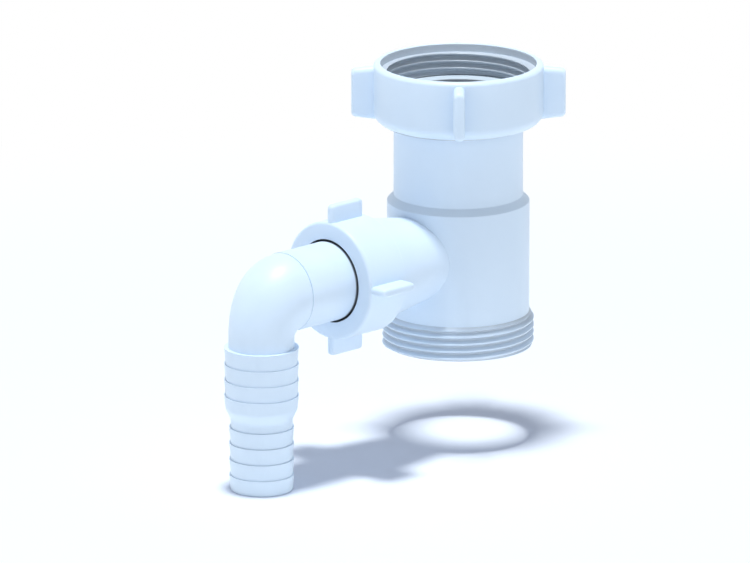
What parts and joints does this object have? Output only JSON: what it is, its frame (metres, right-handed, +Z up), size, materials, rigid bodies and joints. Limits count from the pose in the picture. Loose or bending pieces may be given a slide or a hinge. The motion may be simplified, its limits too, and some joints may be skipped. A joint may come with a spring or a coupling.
{
  "type": "washing machine waste branch",
  "caption": "Moulded waste tee with a captive winged coupling nut above, a threaded outlet below and a swivelling barbed hose elbow held on its side branch by a winged nut.",
  "frame": {"origin": "centre of the tee's lower end face, where the trap's washer seats on the outlet", "axes": "+Z up the main run towards the coupling nut; the side branch and its hose elbow point to -X"},
  "size_m": [0.1253, 0.0536, 0.1214],
  "materials": {
    "white_moulding": "satin white polypropylene with a faint cold cast",
    "white_seal": "soft white sealing ring"
  },
  "bodies": {
    "tee": {"tee_body": "white_moulding", "coupling_seal": "white_seal", "branch_nut": "white_moulding", "branch_seal": "white_seal"},
    "coupling": {"coupling_nut": "white_moulding"},
    "elbow": {"hose_elbow": "white_moulding"}
  },
  "joints": [
    {"name": "coupling_spin", "type": "hinge", "parent": "tee", "child": "coupling", "pos_m": [0, 0, 0.0735], "axis": [0, 0, 1], "continuous": true},
    {"name": "elbow_swivel", "type": "hinge", "parent": "tee", "child": "elbow", "pos_m": [-0.0535, 0, 0.0312], "axis": [1, 0, 0], "continuous": true}
  ]
}
